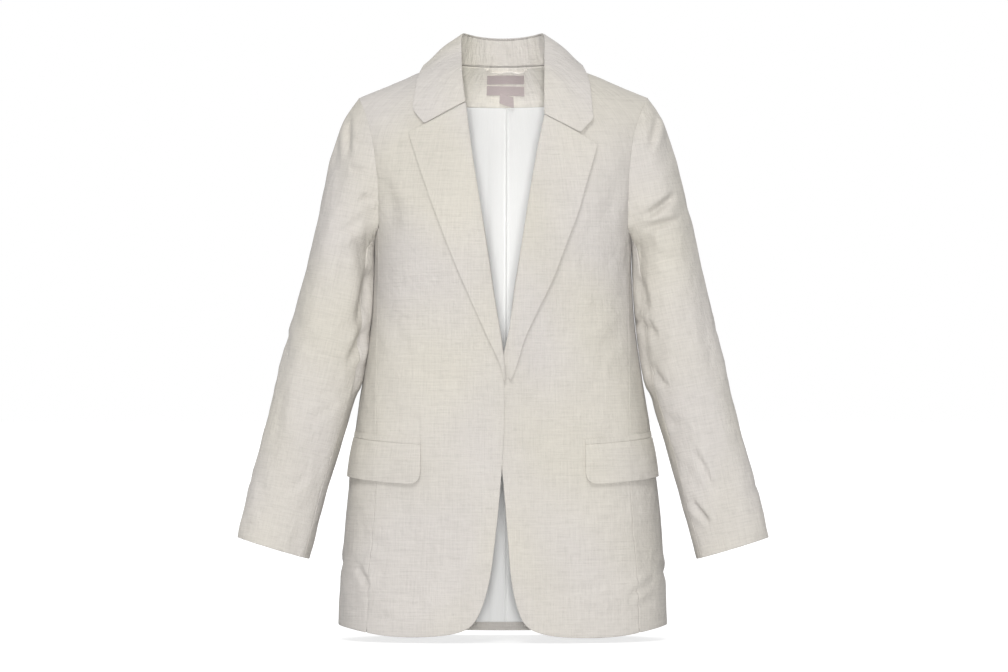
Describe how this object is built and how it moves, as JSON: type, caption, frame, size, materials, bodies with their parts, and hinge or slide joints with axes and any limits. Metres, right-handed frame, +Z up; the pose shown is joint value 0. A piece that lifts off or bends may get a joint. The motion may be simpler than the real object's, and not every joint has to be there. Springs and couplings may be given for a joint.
{
  "type": "single breasted blazer",
  "caption": "Relaxed single breasted linen blazer with notched lapels, flap pockets and rounded fronts, filled out with no wearer.",
  "frame": {"origin": "base of the back neck, on the centre line between the shoulder seams", "axes": "+Z up the body, +X to the wearer's left, the front faces -Y"},
  "size_m": [0.724, 0.2481, 0.827],
  "materials": {
    "linen": "matte ecru plain-weave linen blend with fine slubs",
    "lining": "white lining with a soft satin sheen",
    "label": "plain mauve woven label"
  },
  "bodies": {
    "root": {"front_right": "linen", "front_left": "linen", "side_panel_right": "linen", "side_panel_left": "linen", "back": "linen", "lapel_right": "linen", "lapel_left": "linen", "collar_fall": "linen", "collar_stand": "linen", "sleeve_upper_right": "linen", "sleeve_under_right": "linen", "sleeve_upper_left": "linen", "sleeve_under_left": "linen", "pocket_welt_right": "linen", "pocket_welt_left": "linen", "pocket_flap_right": "linen", "pocket_flap_left": "linen", "back_neck_facing": "linen", "hanger_loop": "linen", "lining_back": "lining", "neck_label_upper": "label", "neck_label_lower": "label", "size_tab": "label"}
  },
  "joints": []
}
